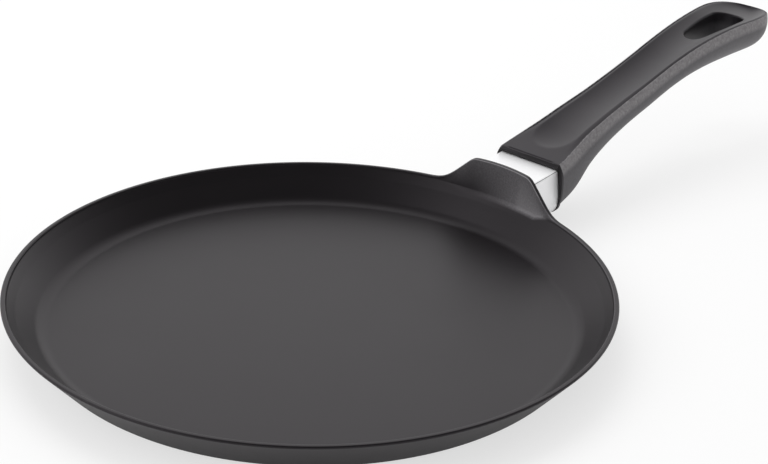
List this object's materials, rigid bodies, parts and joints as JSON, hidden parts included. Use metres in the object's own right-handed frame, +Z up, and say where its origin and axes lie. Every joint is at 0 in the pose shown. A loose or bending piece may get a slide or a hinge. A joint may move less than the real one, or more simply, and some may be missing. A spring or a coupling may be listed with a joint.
{
  "type": "crepe pan",
  "caption": "Shallow crepe pan with a flared wall, a raised lug at the handle, a bright sleeve and a long moulded handle with a hanging slot.",
  "frame": {"origin": "centre of the machined base face, on the surface that the pan stands on", "axes": "+X runs from the pan's centre to the handle, +Z is up, +Y is to the left of the handle seen from the pan"},
  "size_m": [0.4527, 0.25, 0.0639],
  "materials": {
    "coated_casting": "dark non-stick coating on a cast body, satin",
    "polished_steel": "polished",
    "black_handle": "moulded phenolic plastic, fine grain with a satin top",
    "spring_steel": "plain rolled strip"
  },
  "bodies": {
    "root": {"pan_body": "coated_casting", "ferrule": "polished_steel", "handle": "black_handle", "lock_spring": "spring_steel"}
  },
  "joints": []
}
